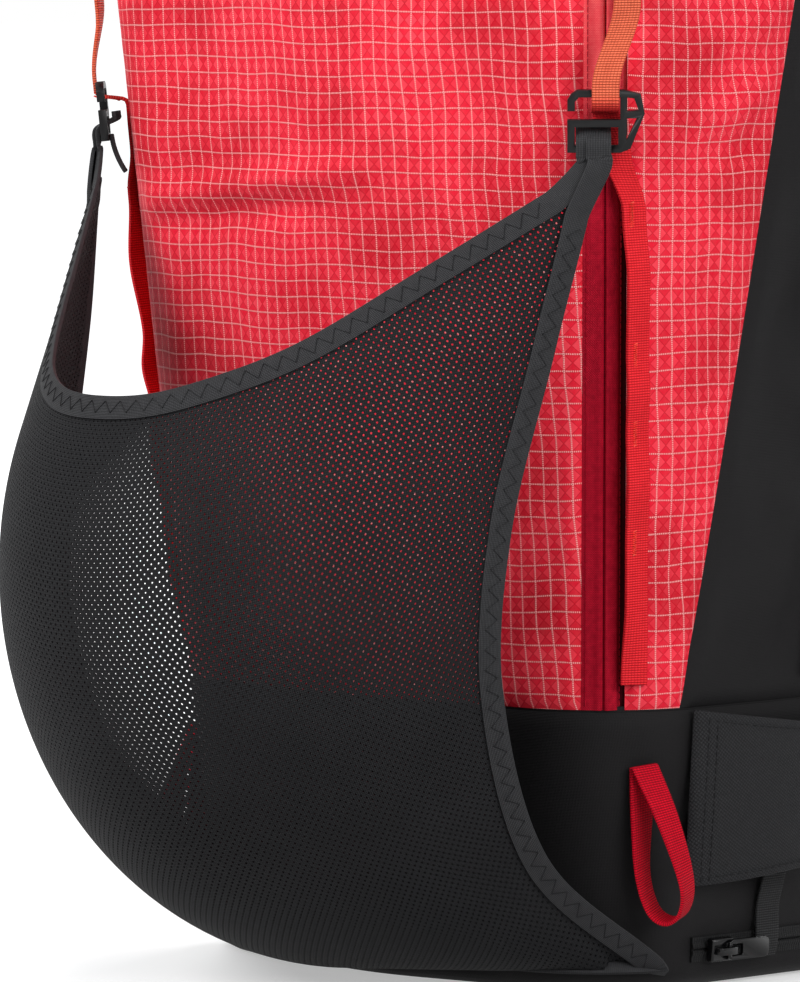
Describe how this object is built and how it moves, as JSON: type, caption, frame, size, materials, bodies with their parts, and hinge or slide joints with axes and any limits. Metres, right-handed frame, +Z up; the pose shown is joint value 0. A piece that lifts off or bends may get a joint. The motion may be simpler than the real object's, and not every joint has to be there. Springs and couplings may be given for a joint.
{
  "type": "ski backpack",
  "caption": "Ski-touring backpack of red and black fabric with a stretch helmet net hooked across its lower front, side ski wings, zips and a padded carrying harness.",
  "frame": {"origin": "middle of the flat base, on the surface that the bag stands on", "axes": "+Z up along the bag, front with the net towards -Y, carrying side towards +Y, +X to the right as seen from the front"},
  "size_m": [0.32, 0.4766, 0.5484],
  "materials": {
    "red_ripstop": "coated ripstop weave",
    "crimson_zip": "coated reverse-coil tape",
    "orange_webbing": "flat woven webbing",
    "black_fabric": "plain coated weave",
    "black_net": "knitted stretch mesh",
    "grey_binding": "elastic binding tape",
    "charcoal_wing": "coarse reinforced weave",
    "black_webbing": "ribbed woven webbing",
    "black_plastic": "satin moulded",
    "black_slider": "gloss",
    "white_sheet": "matt extruded sheet",
    "bare_aluminium": "mill finish",
    "grey_lining": "thin coated lining",
    "pad_mesh": "spacer mesh over foam"
  },
  "bodies": {
    "bag": {"front_panel": "red_ripstop", "front_zip": "crimson_zip", "side_red_right": "red_ripstop", "side_red_left": "red_ripstop", "side_black_right": "black_fabric", "side_black_left": "black_fabric", "back_panel": "black_fabric", "base_tub": "black_fabric", "base_zip": "black_webbing", "lid_zip": "crimson_zip", "net_tab_right": "black_webbing", "net_tab_left": "black_webbing", "gear_strap_right": "orange_webbing", "gear_strap_left": "orange_webbing", "helmet_net": "black_net", "net_top_binding": "grey_binding", "net_binding_right": "grey_binding", "net_binding_left": "grey_binding", "ski_wing_right": "charcoal_wing", "ski_wing_left": "charcoal_wing", "side_strap_right": "black_webbing", "side_strap_left": "black_webbing", "pocket_lining": "grey_lining", "frame_sheet": "white_sheet", "stay": "bare_aluminium", "back_pad_right": "pad_mesh", "back_pad_left": "pad_mesh", "lumbar_pad": "pad_mesh", "strap_yoke": "black_fabric", "lower_webbing_right": "black_webbing", "lower_webbing_left": "black_webbing"},
    "lid": {"lid": "red_ripstop"},
    "front_slider": {"front_zip_slider": "black_slider"},
    "front_pull": {"front_zip_pull": "black_slider"},
    "base_slider": {"base_zip_slider": "black_slider"},
    "base_pull": {"base_zip_pull": "black_slider"},
    "lid_slider": {"lid_zip_slider": "black_slider"},
    "lid_pull": {"lid_zip_pull": "black_slider"},
    "haul_loop": {"haul_loop": "black_webbing"},
    "axe_loop_right": {"axe_loop_right": "orange_webbing"},
    "axe_loop_left": {"axe_loop_left": "orange_webbing"},
    "net_hook_right": {"net_hook_right": "black_plastic"},
    "net_hook_left": {"net_hook_left": "black_plastic"},
    "harness": {"shoulder_strap_right": "pad_mesh", "shoulder_strap_left": "pad_mesh", "ladder_lock_right": "black_plastic", "ladder_lock_left": "black_plastic"},
    "sternum_strap": {"sternum_clip_right": "black_plastic", "sternum_clip_left": "black_plastic", "sternum_webbing_right": "black_webbing", "sternum_webbing_left": "black_webbing", "sternum_buckle_socket": "black_plastic", "sternum_buckle_prongs": "black_plastic"},
    "hip_belt_right": {"hip_wing_right": "pad_mesh", "hip_webbing_right": "black_webbing", "hip_buckle_socket": "black_plastic"},
    "hip_belt_left": {"hip_wing_left": "pad_mesh", "hip_webbing_left": "black_webbing", "hip_buckle_prongs": "black_plastic"}
  },
  "joints": [
    {"name": "lid_hinge", "type": "hinge", "parent": "bag", "child": "lid", "pos_m": [0, 0.0904, 0.48], "axis": [-1, 0, 0], "range_deg": [0, 90]},
    {"name": "front_zip_slide", "type": "slide", "parent": "bag", "child": "front_slider", "axis": [0.0746, -0.0746, 0.9944], "range_m": [-0.04, 0]},
    {"name": "front_pull_hinge", "type": "hinge", "parent": "front_slider", "child": "front_pull", "pos_m": [0.13654, -0.09854, 0.45366], "axis": [-0.7071, -0.7071, 0], "range_deg": [0, 120]},
    {"name": "base_zip_slide", "type": "slide", "parent": "bag", "child": "base_slider", "axis": [0, 1, 0], "range_m": [0, 0.06]},
    {"name": "base_pull_hinge", "type": "hinge", "parent": "base_slider", "child": "base_pull", "pos_m": [0.12037, -0.0172, 0.01395], "axis": [-0.0748, 0, -0.9972], "range_deg": [0, 120]},
    {"name": "lid_zip_slide", "type": "slide", "parent": "bag", "child": "lid_slider", "axis": [0, 1, 0], "range_m": [-0.08, 0.01]},
    {"name": "lid_pull_hinge", "type": "hinge", "parent": "lid_slider", "child": "lid_pull", "pos_m": [0.15475, 0.0318, 0.47245], "axis": [-0.0748, 0, -0.9972], "range_deg": [0, 120]},
    {"name": "haul_loop_hinge", "type": "hinge", "parent": "bag", "child": "haul_loop", "pos_m": [0, 0.0931, 0.455], "axis": [1, 0, 0], "range_deg": [0, 60]},
    {"name": "axe_loop_right_hinge", "type": "hinge", "parent": "bag", "child": "axe_loop_right", "pos_m": [0.11425, -0.05613, 0.08289], "axis": [-0.454, -0.891, 0], "range_deg": [0, 60]},
    {"name": "axe_loop_left_hinge", "type": "hinge", "parent": "bag", "child": "axe_loop_left", "pos_m": [-0.11425, -0.05613, 0.08289], "axis": [-0.454, 0.891, 0], "range_deg": [0, 60]},
    {"name": "net_hook_right_hinge", "type": "hinge", "parent": "bag", "child": "net_hook_right", "pos_m": [0.12825, -0.09025, 0.30235], "axis": [-0.7071, -0.7071, 0], "range_deg": [0, 8]},
    {"name": "net_hook_left_hinge", "type": "hinge", "parent": "bag", "child": "net_hook_left", "pos_m": [-0.12825, -0.09025, 0.30235], "axis": [-0.7071, 0.7071, 0], "range_deg": [0, 8]},
    {"name": "harness_hinge", "type": "hinge", "parent": "bag", "child": "harness", "pos_m": [0, 0.0958, 0.4255], "axis": [1, 0, 0], "range_deg": [0, 25], "deforming": ["lower_webbing_right", "lower_webbing_left"]},
    {"name": "sternum_slide", "type": "slide", "parent": "harness", "child": "sternum_strap", "axis": [0, 0, 1], "range_m": [-0.012, 0.012]},
    {"name": "hip_belt_right_hinge", "type": "hinge", "parent": "bag", "child": "hip_belt_right", "pos_m": [0.09075, 0.0904, 0.116], "axis": [0, 0, 1], "range_deg": [-15, 25]},
    {"name": "hip_belt_left_hinge", "type": "hinge", "parent": "bag", "child": "hip_belt_left", "pos_m": [-0.09075, 0.0904, 0.116], "axis": [0, 0, -1], "range_deg": [-15, 25]}
  ]
}
